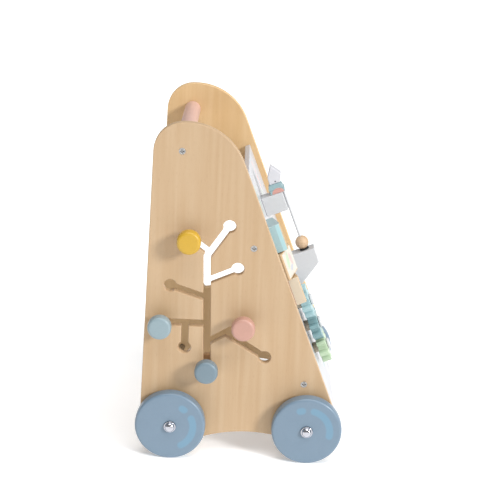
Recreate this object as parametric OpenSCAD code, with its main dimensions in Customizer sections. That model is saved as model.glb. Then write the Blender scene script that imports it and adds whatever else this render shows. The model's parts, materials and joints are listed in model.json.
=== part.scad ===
// Wooden baby walker: two plywood side panels on four wheels, with activities on
// the near panel and on the sloping front board.
// +X points to the front, +Y to the far panel, +Z up. The origin is on the floor,
// midway between the axles and midway between the panels.

/* [Frame] */
// Distance between the outer faces of the two side panels
frame_w = 292; // [280:1:360]
// Thickness of the side panels
panel_t = 12; // [9:0.5:15]
// Height of the side panels above the floor
frame_h = 484.5; // [455:0.5:560]
// Distance between the front and rear axles
wheelbase = 194; // [186:1:220]
// Height of the axles above the floor, which is the wheel radius
axle_h = 50; // [44:0.5:54]
// Radius of the panel feet, centred on the axles
foot_r = 44.6; // [38:0.2:46]
// Radius of the front round of the panel top
crown_front_r = 84; // [70:1:95]
// Radius of the rear round of the panel top
crown_rear_r = 41; // [30:1:55]
// How far the crown's rear centre stands behind the middle of the wheelbase
crown_back = 88; // [80:1:95]
// Height of the arch between the feet above the floor
arch_h = 36; // [30:1:45]
// Radius of the arch between the feet
arch_r = 200; // [160:5:260]

/* [Handle and battens] */
// Diameter of the handle bar
handle_d = 24; // [18:1:30]
// Distance of the handle axis below the top of the panels
handle_drop = 39.5; // [32:0.5:60]
// Width of the two battens that hold the front board, across the walker
batten_w = 10; // [7:0.5:10]
// Depth of the battens behind the board
batten_d = 22; // [16:1:26]

/* [Wheels] */
// Width of the wheels
wheel_w = 19; // [14:1:26]
// Rounding of the wheel rims
wheel_round = 3; // [1:0.5:5]
// Diameter of the steel axles
axle_d = 8; // [6:0.5:10]
// Diameter of the domed axle caps
cap_d = 17; // [14:0.5:24]
// Thickness of the washer between panel and wheel
washer_t = 3; // [2:0.5:5]
// Running clearance of a turning part on its shaft, on the radius
run_fit = 0.08; // [0.04:0.01:0.1]

/* [Tree maze] */
// Width of the maze slots
slot_w = 10; // [9:0.5:12]
// Radius of the round slot ends
leaf_r = 9; // [7:0.5:10]
// Diameter of the knobs
knob_d = 33; // [26:1:34]
// Thickness of the knobs
knob_t = 17; // [12:1:22]
// Gap between the panel and the back of a knob
knob_gap = 12.5; // [8:0.5:20]
// Rounding of the knob edges
knob_round = 3; // [1:0.5:4]
// Diameter of the knob pegs
peg_d = 9; // [6:0.5:9]
// Diameter of the keeper discs inside the panel
keeper_d = 26; // [20:1:30]
// Thickness of the keeper discs
keeper_t = 8; // [5:1:12]

/* [Window] */
// Width across the flats of the hexagonal window in the far panel
window_af = 110; // [80:1:120]

/* [Front board] */
// Thickness of the front board
board_t = 8; // [6:0.5:12]
// Distance of the board's face behind the panels' front edge
board_recess = 8.6; // [4:0.2:12]
// Top of the board along the front edge, from the foot
board_top_v = 354; // [335:1:370]
// Bottom of the board along the front edge, below the foot
board_low_v = 39; // [10:1:40]

/* [Picture blocks] */
// Side of the picture blocks' square section
block_s = 44; // [34:1:46]
// Height of one picture block
block_h = 40; // [30:1:41]
// Gap between picture blocks
block_gap = 1.2; // [0.8:0.1:2]
// Diameter of the rod that the blocks turn on
block_rod_d = 5; // [4:0.5:6]
// Rest angle of the top, middle and lower block about the rod
block_turn = [14, -16, 12];

/* [Gears] */
// Tooth size of the gears: pitch diameter over the number of teeth
gear_m = 5.4; // [4.6:0.1:5.6]
// Number of teeth on each gear
gear_teeth = 8; // [8:1:8]
// Thickness of the gears
gear_t = 14; // [10:1:18]
// Gap between the board and the gears
gear_gap = 7; // [2:0.5:9]
// Diameter of the gear pegs
gear_peg_d = 10; // [7:0.5:12]

/* [Bird slider] */
// Width of the two white brackets across the board
bracket_w = 24; // [18:1:28]
// Reach of the upper bracket in front of the board
upper_reach = 33; // [26:1:36]
// Height of the upper bracket along the board
upper_h = 28.5; // [20:0.5:32]
// Reach of the lower bracket in front of the board
lower_reach = 50; // [44:1:54]
// Diameter of the slider rod
rod_d = 3.6; // [2.4:0.2:4.8]
// Diameter of the sliding ball
ball_d = 20; // [16:1:24]

/* [Hidden] */
$fn = 72;

near_y = -frame_w / 2;
inner_y = frame_w / 2 - panel_t;
axle_x = wheelbase / 2;
crown_flat = 4;
crown_front = [crown_flat - crown_back, frame_h - crown_front_r];
crown_rear = [-crown_back, frame_h - crown_rear_r];
front_foot = [axle_x, axle_h];
rear_foot = [-axle_x, axle_h];
arch_forward = 12;
arch_at = [arch_forward, arch_h - arch_r];

// Direction, in degrees, in which the straight edge touching two rounds faces.
// side is 1 for an edge that faces left of the way from a to b, -1 for right.
function edge_normal(a, ra, b, rb, side) =
    atan2(b[1] - a[1], b[0] - a[0]) + side * (90 + asin((rb - ra) / norm(b - a)));
function unit(angle) = [cos(angle), sin(angle)];

// The front edge faces up by the tilt, and the board lies parallel to it.
tilt = edge_normal(front_foot, foot_r, crown_front, crown_front_r, -1);
back_facing = edge_normal(rear_foot, foot_r, crown_rear, crown_rear_r, 1);
edge_foot = front_foot + foot_r * unit(tilt);
edge_top = crown_front + crown_front_r * unit(tilt);
board_face = -board_recess;
board_mid = board_face - board_t / 2;

// Side-view place of a point on the board: h in front of the edge, v along it.
function on_edge(h, v) = edge_foot + h * unit(tilt) + v * unit(tilt + 90);

handle_at = [-crown_back - 2, frame_h - handle_drop];

// Battens behind the board's edges, and the screws that hold them.
batten_face = board_face - board_t;
batten_low_v = -20;
batten_top_v = 335;
batten_screw_v = [61, 275];
board_screw_v = [20, 160, 315];
screw_d = 5;
screw_head_d = 9;
handle_screw_len = 45;
batten_screw_len = panel_t + batten_w - 1.5;
board_screw_d = 3.5;
board_screw_len = batten_d + 5;

// Panel screws: side-view place and length.
panel_screws_at = concat(
    [[handle_at, handle_screw_len]],
    [for (v = batten_screw_v) [on_edge(batten_face - batten_d / 2, v), batten_screw_len]]
);

// Tree maze: places on the panel in side view.
trunk_low = [-48, 135.7];
trunk_top = [-52.4, 297.5];
crown_end = [-22.7, 342];
yellow_from = [-48.5, 304];
yellow_at = [-76.9, 324.3];
right_from = [-50.5, 262.7];
right_end = [-9.4, 281.3];
left_from = [-51.5, 237.6];
left_end = [-102.4, 253.7];
sky_from = [-49.9, 199.5];
sky_at = [-114.4, 199.5];
fork_x = -80.3;
fork_end = [fork_x, 162.6];
pink_from = [-47, 172.8];
pink_at = [1.4, 201.8];
spur_from = [-23, 186.8];
spur_end = [33, 152.1];
blue_at = trunk_low;

// Window in the far panel.
window_at = [-38, 212];
window_turn = -22.6;

// Picture blocks.
block_y = -89;
block_low_v = 164;
block_pitch = block_h + block_gap;
block_stack = 3 * block_pitch + block_gap;
block_sweep = block_s / sqrt(2);
block_room = 3.5;
rod_grip = 12;

// Gears, in the board's own plane: [across, along].
gear_c = gear_m * gear_teeth;
gear_lean = 15;
sky_gear_at = [-36, 141];
teal_gear_at = sky_gear_at + gear_c * [sin(gear_lean), -cos(gear_lean)];
green_gear_at = teal_gear_at + gear_c * [sin(gear_lean), -cos(gear_lean)];
gear_play = 0.4;
gear_head_gap = 0.6;
gear_face = board_face + gear_gap;
pressure = 25;
tooth_add = 0.7 * gear_m;
tooth_ded = 0.92 * gear_m;
tooth_slack = 0.9;
gear_cap_t = 3.5;
gear_cap_round = 1.2;
collar_rim = 3;

// Bird slider.
bracket_y = 6;
rod_gap = 0.1;
rod_h = board_face + upper_reach + rod_gap + rod_d / 2;
shelf_v = 301.5;
lower_v = 204.5;
rod_end = 10;
stop_t = 1.8;
stop_d = 14;
ball_play = 0.1;
ball_flat = 0.3;
nose_h = 23;
nose_slope = 0.7;
base_back = 7;
base_front = rod_h + rod_d / 2 + 0.9;
base_t = 6;
base_w = 20;
bird_h = 17;
body_r = 11;
body_t = 8.5;
head_w = 16;

// A box with its long edges cut at 45 degrees, centred in all directions.
module softened_bar(length, side, cut) {
    rotate([0, 90, 0])
        linear_extrude(length, center = true)
            intersection() {
                square(side, center = true);
                rotate(45)
                    square(side * sqrt(2) - 2 * cut, center = true);
            }
}

// A round solid along +Z from the origin with rounded outer edges.
module round_disc(radius, thick, round_r, bore_r = 0) {
    rotate_extrude()
        difference() {
            union() {
                square([radius - round_r, thick]);
                translate([0, round_r])
                    square([radius, thick - 2 * round_r]);
                for (z = [round_r, thick - round_r])
                    translate([radius - round_r, z])
                        circle(round_r);
            }
            translate([-radius, -1])
                square([radius + bore_r, thick + 2]);
        }
}

// Stands a drawing made in the X-Z plane up, with its thickness from y to y + thick.
module upright(y, thick) {
    translate([0, y + thick, 0])
        rotate([90, 0, 0])
            linear_extrude(thick)
                children();
}

// Points the local +Z of its children towards -Y from side-view place p.
module facing_near(p, y) {
    translate([p[0], y, p[1]])
        rotate([90, 0, 0])
            children();
}

// Board frame: local X out of the board, Y across it and Z up along it.
module on_board() {
    translate([edge_foot[0], 0, edge_foot[1]])
        rotate([0, -tilt, 0])
            children();
}

// Points on an arc from angle a to angle b.
function arc(centre, radius, a, b, steps = 36) = [
    for (i = [0 : steps])
        centre + radius * unit(a + (b - a) * i / steps)
];

// Direction from a foot's centre to the point where its round meets the arch.
// side is 1 where that point lies left of the line to the arch's centre.
function foot_to_arch(foot, side) =
    let (
        line = arch_at - foot,
        d = norm(line),
        turn = acos((d * d + foot_r * foot_r - arch_r * arch_r) / (2 * d * foot_r))
    )
    atan2(line[1], line[0]) + side * turn;

function arch_angle(foot, side) =
    let (p = foot + foot_r * unit(foot_to_arch(foot, side)) - arch_at)
    atan2(p[1], p[0]);

// Side view of a panel: two feet round the axles, an arch between them and a
// crown with a small rear and a large front round.
module panel_outline() {
    polygon(concat(
        arc(rear_foot, foot_r, 360 + foot_to_arch(rear_foot, 1), back_facing),
        arc(crown_rear, crown_rear_r, back_facing, 90),
        arc(crown_front, crown_front_r, 90, tilt),
        arc(front_foot, foot_r, tilt, foot_to_arch(front_foot, -1)),
        arc(arch_at, arch_r, arch_angle(front_foot, -1), arch_angle(rear_foot, 1))
    ));
}

// One straight slot from a to b with a round end at b, and at a too if asked.
module slot(a, b, round_start = false) {
    turn = atan2(b[1] - a[1], b[0] - a[0]);
    half = slot_w / 2;
    start = round_start
        ? arc(a, half, turn + 90, turn + 270, 16)
        : [a + half * unit(turn + 90), a + half * unit(turn - 90)];
    polygon(concat(start, arc(b, half, turn - 90, turn + 90, 16)));
}

module leaf(p) {
    polygon(arc(p, leaf_r, 0, 350, 35));
}

module tree_maze() {
    slot(trunk_low, trunk_top, true);
    slot(trunk_top, crown_end);
    slot(yellow_from, yellow_at);
    slot(right_from, right_end);
    slot(left_from, left_end);
    slot(sky_from, sky_at);
    slot([fork_x, sky_at[1]], fork_end);
    slot(pink_from, pink_at);
    slot(spur_from, spur_end);
    leaf(crown_end);
    leaf(right_end);
    leaf(left_end);
    leaf(fork_end);
    leaf(spur_end);
}

// Holes that both panels share: two axle holes and the screw holes.
module panel_holes(side) {
    for (x = [-axle_x, axle_x])
        translate([x, side * frame_w / 2, axle_h])
            rotate([90, 0, 0])
                cylinder(d = axle_d, h = 2 * panel_t + 2, center = true);
    at_panel_screws(side)
        union() {
            screw_shape(batten_screw_len);
            translate([0, 0, -1])
                cylinder(d = screw_head_d, h = 1);
        }
}

// Repeats its children at the screws of one side, +Z pointing into the panel.
module at_panel_screws(side) {
    for (s = panel_screws_at)
        panel_screw_place(s[0], side)
            children();
}

module panel_screw_place(p, side) {
    translate([p[0], side * frame_w / 2, p[1]])
        rotate([90 * side, 0, 0])
            children();
}

// A countersunk screw: head flush at z = 0, shank along +Z.
module screw_shape(length) {
    cylinder(d1 = screw_head_d, d2 = screw_d, h = (screw_head_d - screw_d) / 2);
    cylinder(d = screw_d, h = length);
}

module side_panel_near() {
    color("burlywood")
        difference() {
            upright(near_y, panel_t)
                difference() {
                    panel_outline();
                    tree_maze();
                }
            panel_holes(-1);
        }
}

module side_panel_far() {
    color("burlywood")
        difference() {
            upright(inner_y, panel_t)
                difference() {
                    panel_outline();
                    translate(window_at)
                        rotate(window_turn + 90)
                            circle(window_af / sqrt(3), $fn = 6);
                }
            panel_holes(1);
        }
}

// What the panel screws take out of the handle and battens.
module panel_screw_bores() {
    for (side = [-1, 1])
        for (s = panel_screws_at)
            panel_screw_place(s[0], side)
                cylinder(d = screw_d, h = s[1]);
}

module handle_bar() {
    color("rosybrown")
        difference() {
            facing_near(handle_at, inner_y)
                cylinder(d = handle_d, h = 2 * inner_y);
            panel_screw_bores();
        }
}

module batten(side) {
    color("burlywood")
        difference() {
            on_board()
                translate([batten_face - batten_d, side * (inner_y - batten_w / 2) - batten_w / 2,
                           batten_low_v])
                    cube([batten_d, batten_w, batten_top_v - batten_low_v]);
            panel_screw_bores();
            at_board_screws()
                cylinder(d = board_screw_d, h = board_screw_len);
        }
}

module near_batten() {
    batten(-1);
}

module far_batten() {
    batten(1);
}

module panel_screws() {
    color("silver")
        for (side = [-1, 1])
            for (s = panel_screws_at)
                panel_screw_place(s[0], side)
                    difference() {
                        screw_shape(s[1]);
                        screw_cross();
                    }
}

// Cross-shaped driver recess in a screw head.
module screw_cross() {
    for (turn = [0, 90])
        rotate(turn)
            translate([-2, -0.5, -0.1])
                cube([4, 1, 1.6]);
}

// Board screws go in from behind, through the battens.
module at_board_screws() {
    on_board()
        for (v = board_screw_v)
            for (side = [-1, 1])
                translate([batten_face - batten_d, side * (inner_y - batten_w / 2), v])
                    rotate([0, 90, 0])
                        children();
}

module board_screws() {
    head_h = 2;
    color("silver")
        at_board_screws()
            union() {
                translate([0, 0, -head_h])
                    cylinder(d = 2 * board_screw_d, h = head_h);
                cylinder(d = board_screw_d, h = board_screw_len);
            }
}

module front_board() {
    window_w = 2 * (block_sweep + block_room);
    color("whitesmoke")
        difference() {
            on_board()
                difference() {
                    translate([board_face - board_t, -inner_y, -board_low_v])
                        cube([board_t, 2 * inner_y, board_low_v + board_top_v]);
                    translate([board_face - board_t - 1, block_y - window_w / 2,
                               block_low_v - block_gap])
                        cube([board_t + 2, window_w, block_stack]);
                    block_rod_shape();
                    gear_peg_shapes();
                }
            at_board_screws()
                cylinder(d = board_screw_d, h = board_screw_len);
        }
}

// Wheels and axles.
module axle(x) {
    reach = frame_w + 2 * (washer_t + wheel_w + cap_grip);
    color("silver")
        translate([x, reach / 2, axle_h])
            rotate([90, 0, 0])
                cylinder(d = axle_d, h = reach);
}

cap_grip = 4;
wheel_play = 0.5;

module front_axle() {
    axle(axle_x);
}

module rear_axle() {
    axle(-axle_x);
}

// Repeats its children at the four axle ends, local +Z pointing outwards.
module at_axle_ends(away) {
    for (x = [-axle_x, axle_x])
        for (side = [-1, 1])
            axle_end(x, side, away)
                children();
}

module axle_end(x, side, away) {
    translate([x, side * (frame_w / 2 + away), axle_h])
        rotate([-90 * side, 0, 0])
            children();
}

module axle_washers() {
    color("silver")
        at_axle_ends(0)
            difference() {
                cylinder(d = 2.2 * axle_d, h = washer_t - wheel_play);
                translate([0, 0, -1])
                    cylinder(d = axle_d, h = washer_t + 2);
            }
}

module axle_caps() {
    dome_r = cap_d * 0.56;
    color("silver")
        at_axle_ends(washer_t + wheel_w + wheel_play)
            difference() {
                union() {
                    cylinder(d = cap_d, h = 1.5);
                    translate([0, 0, 1.5])
                        intersection() {
                            translate([0, 0, 5.5 - dome_r])
                                sphere(dome_r);
                            cylinder(d = cap_d - 1, h = 10);
                        }
                }
                translate([0, 0, -1])
                    cylinder(d = axle_d, h = cap_grip - wheel_play + 1);
            }
}

module wheel(x, side) {
    color("steelblue")
        axle_end(x, side, washer_t)
            round_disc(axle_h, wheel_w, wheel_round, axle_d / 2 + run_fit);
}

module front_wheel_near() {
    wheel(axle_x, -1);
}

module front_wheel_far() {
    wheel(axle_x, 1);
}

module rear_wheel_near() {
    wheel(-axle_x, -1);
}

module rear_wheel_far() {
    wheel(-axle_x, 1);
}

// Knobs of the tree maze: a knob, a peg through the slot and a keeper disc inside.
keeper_gap = 1;
peg_grip = 8;

module knob(p, shade) {
    color(shade)
        facing_near(p, near_y - knob_gap)
            difference() {
                round_disc(knob_d / 2, knob_t, knob_round);
                translate([0, 0, -1])
                    cylinder(d = peg_d, h = peg_grip + 1);
            }
}

module peg(p) {
    reach = keeper_t + keeper_gap + panel_t + knob_gap + peg_grip;
    color("thistle")
        facing_near(p, near_y + panel_t + keeper_gap + keeper_t)
            cylinder(d = peg_d, h = reach);
}

module keeper(p) {
    color("burlywood")
        facing_near(p, near_y + panel_t + keeper_gap + keeper_t)
            round_disc(keeper_d / 2, keeper_t, 1.5, peg_d / 2);
}

module yellow_knob() {
    knob(yellow_at, "gold");
}

module yellow_peg() {
    peg(yellow_at);
}

module yellow_keeper() {
    keeper(yellow_at);
}

module sky_knob() {
    knob(sky_at, "lightblue");
}

module sky_peg() {
    peg(sky_at);
}

module sky_keeper() {
    keeper(sky_at);
}

module pink_knob() {
    knob(pink_at, "pink");
}

module pink_peg() {
    peg(pink_at);
}

module pink_keeper() {
    keeper(pink_at);
}

module blue_knob() {
    knob(blue_at, "lightsteelblue");
}

module blue_peg() {
    peg(blue_at);
}

module blue_keeper() {
    keeper(blue_at);
}

// Picture blocks on one rod in the board's window.
module block_rod_shape() {
    translate([board_mid, block_y, block_low_v - block_gap - rod_grip])
        cylinder(d = block_rod_d, h = block_stack + 2 * rod_grip);
}

module block_rod() {
    color("silver")
        on_board()
            block_rod_shape();
}

module picture_block(place, shade) {
    color(shade)
        on_board()
            translate([board_mid, block_y, block_low_v + (2 - place) * block_pitch])
                rotate(block_turn[place])
                    difference() {
                        translate([0, 0, block_h / 2])
                            rotate([0, 90, 0])
                                softened_bar(block_h, block_s, 1.5);
                        translate([0, 0, -1])
                            cylinder(r = block_rod_d / 2 + run_fit, h = block_h + 2);
                    }
}

module top_block() {
    picture_block(0, "cadetblue");
}

module middle_block() {
    picture_block(1, "burlywood");
}

module lower_block() {
    picture_block(2, "burlywood");
}

// Gears. The flank is an involute of the base circle from there to the tip.
pitch_r = gear_c / 2;
base_r = pitch_r * cos(pressure);
tip_r = pitch_r + tooth_add;
root_r = pitch_r - tooth_ded;
flank_steps = 5;

// Angle swept by the involute when it has reached radius r, in degrees.
function involute(r) =
    let (roll = sqrt(max(0, pow(r / base_r, 2) - 1)))
    roll * 180 / PI - atan(roll);

// Half of the tooth's angle at radius r.
function half_tooth(r) =
    90 / gear_teeth - tooth_slack / pitch_r * 90 / PI + involute(pitch_r) - involute(r);

// One side of a tooth from base to tip, mirrored by side.
function flank(side) = [
    for (i = [0 : flank_steps])
        let (r = base_r + (tip_r - base_r) * i / flank_steps)
            r * unit(side * half_tooth(r))
];

module tooth() {
    upper = flank(1);
    lower = flank(-1);
    polygon(concat(
        [[0, 0], root_r * 0.9 * unit(-half_tooth(base_r))],
        lower,
        [for (i = [flank_steps : -1 : 0]) upper[i]],
        [root_r * 0.9 * unit(half_tooth(base_r))]
    ));
}

// Places its children on the board at an [across, along] place, +Z out of the board.
module at_board(place, height) {
    translate([height, place[0], place[1]])
        rotate([0, 90, 0])
            children();
}

module gear(place, phase, shade) {
    color(shade)
        on_board()
            at_board(place, gear_face)
                difference() {
                    linear_extrude(gear_t)
                        union() {
                            circle(root_r);
                            for (i = [0 : gear_teeth - 1])
                                rotate(phase + i * 360 / gear_teeth)
                                    tooth();
                        }
                    translate([0, 0, -1])
                        cylinder(r = gear_peg_d / 2 + run_fit, h = gear_t + 2);
                }
}

// Teeth of one gear point along the line of centres, which leans by gear_lean,
// and the next gear is turned by half a tooth.
half_pitch = 180 / gear_teeth;

module sky_gear() {
    gear(sky_gear_at, gear_lean, "lightblue");
}

module teal_gear() {
    gear(teal_gear_at, gear_lean + half_pitch, "cadetblue");
}

module green_gear() {
    gear(green_gear_at, gear_lean, "darkseagreen");
}

module gear_peg_shapes() {
    for (p = [sky_gear_at, teal_gear_at, green_gear_at])
        at_board(p, board_face - board_t)
            cylinder(d = gear_peg_d, h = board_t + gear_gap + gear_t + gear_head_gap);
}

module gear_pegs() {
    color("burlywood")
        on_board() {
            gear_peg_shapes();
            for (p = [sky_gear_at, teal_gear_at, green_gear_at])
                at_board(p, board_face)
                    cylinder(d = gear_peg_d + 2 * collar_rim, h = gear_gap - gear_play);
        }
}

module gear_caps() {
    color("white")
        on_board()
            for (p = [sky_gear_at, teal_gear_at, green_gear_at])
                at_board(p, gear_face + gear_t + gear_head_gap)
                    round_disc(gear_peg_d * 0.85, gear_cap_t, gear_cap_round);
}

// Bird slider: brackets, rod, ball, stop ring and the bird on the upper bracket.
module side_prism(points, y, thick) {
    translate([0, y + thick / 2, 0])
        rotate([90, 0, 0])
            linear_extrude(thick)
                polygon(points);
}

module upper_bracket() {
    color("white")
        on_board()
            side_prism([
                [board_face, shelf_v - upper_h],
                [board_face + upper_reach, shelf_v - upper_h],
                [board_face + upper_reach, shelf_v],
                [board_face, shelf_v],
            ], bracket_y, bracket_w);
}

module lower_bracket() {
    color("white")
        on_board()
            difference() {
                side_prism([
                    [board_face, lower_v - nose_h - lower_reach * nose_slope],
                    [board_face + lower_reach, lower_v - nose_h],
                    [board_face + lower_reach, lower_v],
                    [board_face, lower_v],
                ], bracket_y, bracket_w);
                slider_rod_shape();
            }
}

module slider_rod_shape() {
    translate([rod_h, bracket_y, lower_v - rod_end])
        cylinder(d = rod_d, h = shelf_v - lower_v + rod_end + base_t / 2);
}

module slider_rod() {
    color("white")
        on_board()
            slider_rod_shape();
}

module stop_ring() {
    color("black")
        on_board()
            translate([rod_h, bracket_y, lower_v])
                difference() {
                    cylinder(d = stop_d, h = stop_t);
                    translate([0, 0, -1])
                        cylinder(d = rod_d, h = stop_t + 2);
                }
}

module slider_ball() {
    color("burlywood")
        on_board()
            translate([rod_h, bracket_y, lower_v + stop_t + ball_play + ball_d / 2 - ball_flat])
                difference() {
                    intersection() {
                        sphere(d = ball_d);
                        cylinder(d = ball_d + 2, h = ball_d - 2 * ball_flat, center = true);
                    }
                    cylinder(r = rod_d / 2 + run_fit, h = ball_d, center = true);
                }
}

module bird_base() {
    color("salmon")
        on_board()
            difference() {
                side_prism([
                    [base_back, shelf_v],
                    [base_front, shelf_v],
                    [base_front, shelf_v + base_t],
                    [base_back, shelf_v + base_t],
                ], bracket_y, base_w);
                slider_rod_shape();
            }
}

module bird_body() {
    color("cadetblue")
        on_board()
            translate([bird_h, bracket_y, shelf_v + base_t])
                intersection() {
                    rotate([90, 0, 0])
                        cylinder(r = body_r, h = base_w, center = true);
                    translate([-body_r, -base_w, 0])
                        cube([2 * body_r, 2 * base_w, body_t]);
                }
}

// The head leans forward over the front of the body.
module bird_head() {
    top_v = shelf_v + base_t + body_t;
    color("white")
        on_board()
            side_prism([
                [bird_h - 7, top_v],
                [bird_h + 9, top_v],
                [bird_h + 14.7, top_v + 11.5],
                [bird_h + 3.1, top_v + 27.5],
                [bird_h - 6.6, top_v + 10.8],
            ], bracket_y, head_w);
}

side_panel_near();
side_panel_far();
handle_bar();
near_batten();
far_batten();
panel_screws();
front_board();
board_screws();
front_axle();
rear_axle();
axle_washers();
axle_caps();
front_wheel_near();
front_wheel_far();
rear_wheel_near();
rear_wheel_far();
yellow_knob();
yellow_peg();
yellow_keeper();
sky_knob();
sky_peg();
sky_keeper();
pink_knob();
pink_peg();
pink_keeper();
blue_knob();
blue_peg();
blue_keeper();
block_rod();
top_block();
middle_block();
lower_block();
gear_pegs();
gear_caps();
sky_gear();
teal_gear();
green_gear();
upper_bracket();
lower_bracket();
slider_rod();
slider_ball();
stop_ring();
bird_base();
bird_body();
bird_head();
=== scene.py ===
import json
from math import cos, pi, radians, sin

import bmesh
import bpy
import numpy as np
from mathutils import Matrix, Vector


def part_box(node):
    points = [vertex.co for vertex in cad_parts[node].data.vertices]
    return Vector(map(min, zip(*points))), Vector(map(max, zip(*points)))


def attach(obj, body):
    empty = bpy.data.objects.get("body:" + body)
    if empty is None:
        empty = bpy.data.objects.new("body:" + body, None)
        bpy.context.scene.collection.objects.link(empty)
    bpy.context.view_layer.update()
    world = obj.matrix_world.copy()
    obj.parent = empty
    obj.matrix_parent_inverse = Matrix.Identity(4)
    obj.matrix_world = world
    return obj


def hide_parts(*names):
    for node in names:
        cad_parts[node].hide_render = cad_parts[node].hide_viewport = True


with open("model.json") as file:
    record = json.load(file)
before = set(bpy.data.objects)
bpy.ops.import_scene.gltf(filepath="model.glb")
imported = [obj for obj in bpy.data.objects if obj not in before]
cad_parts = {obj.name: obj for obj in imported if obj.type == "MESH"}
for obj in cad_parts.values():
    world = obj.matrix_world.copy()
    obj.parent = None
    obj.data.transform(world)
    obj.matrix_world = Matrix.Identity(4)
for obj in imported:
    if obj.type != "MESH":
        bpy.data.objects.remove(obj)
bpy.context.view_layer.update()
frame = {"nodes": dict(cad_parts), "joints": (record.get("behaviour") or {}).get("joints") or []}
joint = {j["name"]: j for j in frame["joints"]}


# --- Camera, floor and light -------------------------------------------------
# A longish lens looks slightly down on the maze side. The walker stands on a plain
# pale floor, in even white light with a broad soft lamp to the upper right.

lens = bpy.data.cameras.new("eye")
lens.lens = 95.49
lens.sensor_width = 36.0
camera = bpy.data.objects.new("camera", lens)
camera.location = (0.00108, -1.8781, 0.8664)
camera.rotation_euler = (
    Matrix.Rotation(-0.003, 3, "Z") @ Matrix.Rotation(pi / 2 - 0.3108, 3, "X") @ Matrix.Rotation(0.0416, 3, "Z")
).to_euler()
bpy.context.scene.collection.objects.link(camera)
bpy.context.scene.camera = camera
bpy.context.scene.view_settings.view_transform = "Standard"


def add(tree, kind, feeds={}, **settings):
    """One shader node; feeds gives its inputs, as plain values or as the sockets that lead to them."""
    made = tree.nodes.new("ShaderNode" + kind)
    for key, value in settings.items():
        setattr(made, key, value)
    for key, value in feeds.items():
        if isinstance(value, bpy.types.NodeSocket):
            tree.links.new(value, made.inputs[key])
        else:
            made.inputs[key].default_value = value
    return made


def finish_of(name, **constants):
    """A material with one Principled shader; each constant is set on the shader's own socket."""
    made = bpy.data.materials.new(name)
    made.use_nodes = True
    shader = made.node_tree.nodes["Principled BSDF"]
    for key, value in constants.items():
        shader.inputs[key.replace("_", " ")].default_value = value
    return made, made.node_tree, shader


def tint(red, green, blue):
    """A colour-card shade, 0 to 255 a channel, as the linear colour that a shader takes."""
    shade = np.array([red, green, blue]) / 255
    linear = np.where(shade > 0.04045, ((shade + 0.055) / 1.055) ** 2.4, shade / 12.92)
    return (*linear.tolist(), 1.0)


def grainy(tree, vector, stretch, detail=2.0, roughness=0.5, distortion=0.0):
    """Cloudy noise from 0 to 1, with stretch features in a metre along each direction."""
    spread = add(tree, "Mapping", {"Vector": vector, "Scale": stretch}).outputs[0]
    feeds = {"Vector": spread, "Scale": 1.0, "Detail": detail, "Roughness": roughness, "Distortion": distortion}
    return add(tree, "TexNoise", feeds).outputs[0]


def remap(tree, value, low, high, to_low=0.0, to_high=1.0):
    """Carries low..high onto to_low..to_high and stops at both ends."""
    feeds = {"Value": value, "From Min": low, "From Max": high, "To Min": to_low, "To Max": to_high}
    return add(tree, "MapRange", feeds).outputs[0]


def mixed(tree, factor, first, second, mode="MIX"):
    """Two colours mixed by a factor."""
    return add(tree, "Mix", {0: factor, 6: first, 7: second}, data_type="RGBA", blend_type=mode).outputs[2]


def maths(tree, operation, first, second=0.5, third=0.5):
    """One sum on values."""
    return add(tree, "Math", {0: first, 1: second, 2: third}, operation=operation).outputs[0]


def made_of(obj, material):
    """Gives a piece its one material."""
    obj.data.materials.clear()
    obj.data.materials.append(material)


floor_paint, tree, shader = finish_of("studio_floor", Roughness=0.85, Emission_Color=(1, 1, 1, 1),
                                      Emission_Strength=0.28)
place = add(tree, "TexCoord").outputs["Object"]
mottle = grainy(tree, place, (3.0, 3.0, 3.0))
tree.links.new(mixed(tree, mottle, (0.955, 0.955, 0.955, 1), (0.97, 0.968, 0.965, 1)), shader.inputs["Base Color"])
speck = grainy(tree, place, (420.0, 420.0, 420.0))
bump = add(tree, "Bump", {"Height": speck, "Strength": 0.05, "Distance": 0.0002}).outputs[0]
tree.links.new(bump, shader.inputs["Normal"])
sheet = bpy.data.meshes.new("floor")
sheet.from_pydata([(-12, -12, 0), (12, -12, 0), (12, 12, 0), (-12, 12, 0)], [], [(0, 1, 2, 3)])
floor = bpy.data.objects.new("floor", sheet)
bpy.context.scene.collection.objects.link(floor)
made_of(floor, floor_paint)

room = bpy.data.worlds.new("white_room")
room.use_nodes = True
room.node_tree.nodes["Background"].inputs["Color"].default_value = (1.0, 1.0, 1.0, 1)
room.node_tree.nodes["Background"].inputs["Strength"].default_value = 0.30
bpy.context.scene.world = room


def lamp(name, towards, strength, spread):
    """A broad far-off lamp that stands in the given direction from the walker; spread is its
    width in degrees."""
    light = bpy.data.lights.new(name, "SUN")
    light.energy = strength
    light.angle = radians(spread)
    obj = bpy.data.objects.new(name, light)
    obj.rotation_euler = Vector(towards).to_track_quat("Z", "Y").to_euler()
    bpy.context.scene.collection.objects.link(obj)


lamp("side_lamp", (0.72, -0.58, 0.42), 2.5, 14)
lamp("top_lamp", (0.10, -0.25, 1.0), 1.9, 50)


# --- Side panels -------------------------------------------------------------
# Two panels routed from 12 mm birch plywood, sanded, eased along every edge and
# clear varnished. The near one has the tree maze, the far one a hexagonal window.

def effect(name, takes, gives):
    """An empty shader node group with named inputs (kind, start value) and outputs (kind)."""
    tree = bpy.data.node_groups.new(name, "ShaderNodeTree")
    for key, (kind, value) in takes.items():
        socket = tree.interface.new_socket(key, in_out="INPUT", socket_type="NodeSocket" + kind)
        if value is not None:
            socket.default_value = value
    for key, kind in gives.items():
        tree.interface.new_socket(key, in_out="OUTPUT", socket_type="NodeSocket" + kind)
    return tree, tree.nodes.new("NodeGroupInput").outputs, tree.nodes.new("NodeGroupOutput").inputs


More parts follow.
